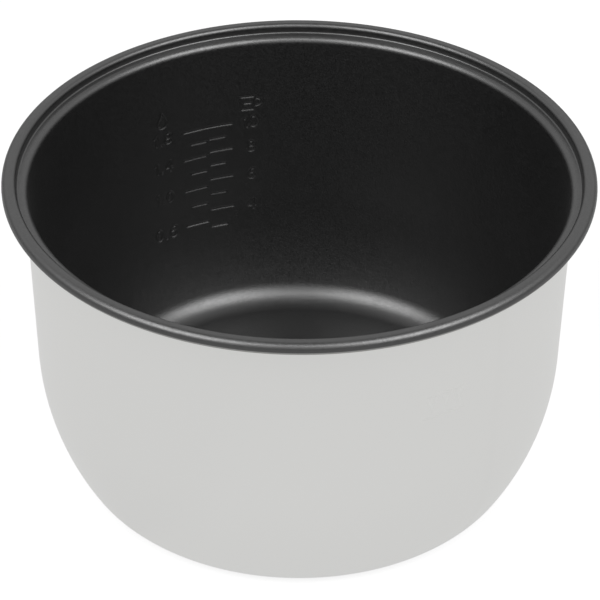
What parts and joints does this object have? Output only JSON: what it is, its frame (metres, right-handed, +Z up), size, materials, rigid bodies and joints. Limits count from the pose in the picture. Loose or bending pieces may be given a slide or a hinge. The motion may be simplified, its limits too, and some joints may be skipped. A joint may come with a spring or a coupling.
{
  "type": "rice cooker inner pot",
  "caption": "Spun aluminium inner pot for a rice cooker: stepped, rolled rim, bowl-shaped wall, flat base and non-stick lining with pressed water-level marks.",
  "frame": {"origin": "centre of the flat base, on the surface that the pot stands on", "axes": "+Z up along the pot's axis of revolution; the cup scale is on the inside of the wall, 22.3 degrees from +Y towards -X"},
  "size_m": [0.25, 0.25, 0.145],
  "materials": {
    "spun_aluminium": "satin",
    "nonstick_coating": "satin, fine metallic flake"
  },
  "bodies": {
    "root": {"pot_shell": "spun_aluminium", "nonstick_lining": "nonstick_coating"}
  },
  "joints": []
}
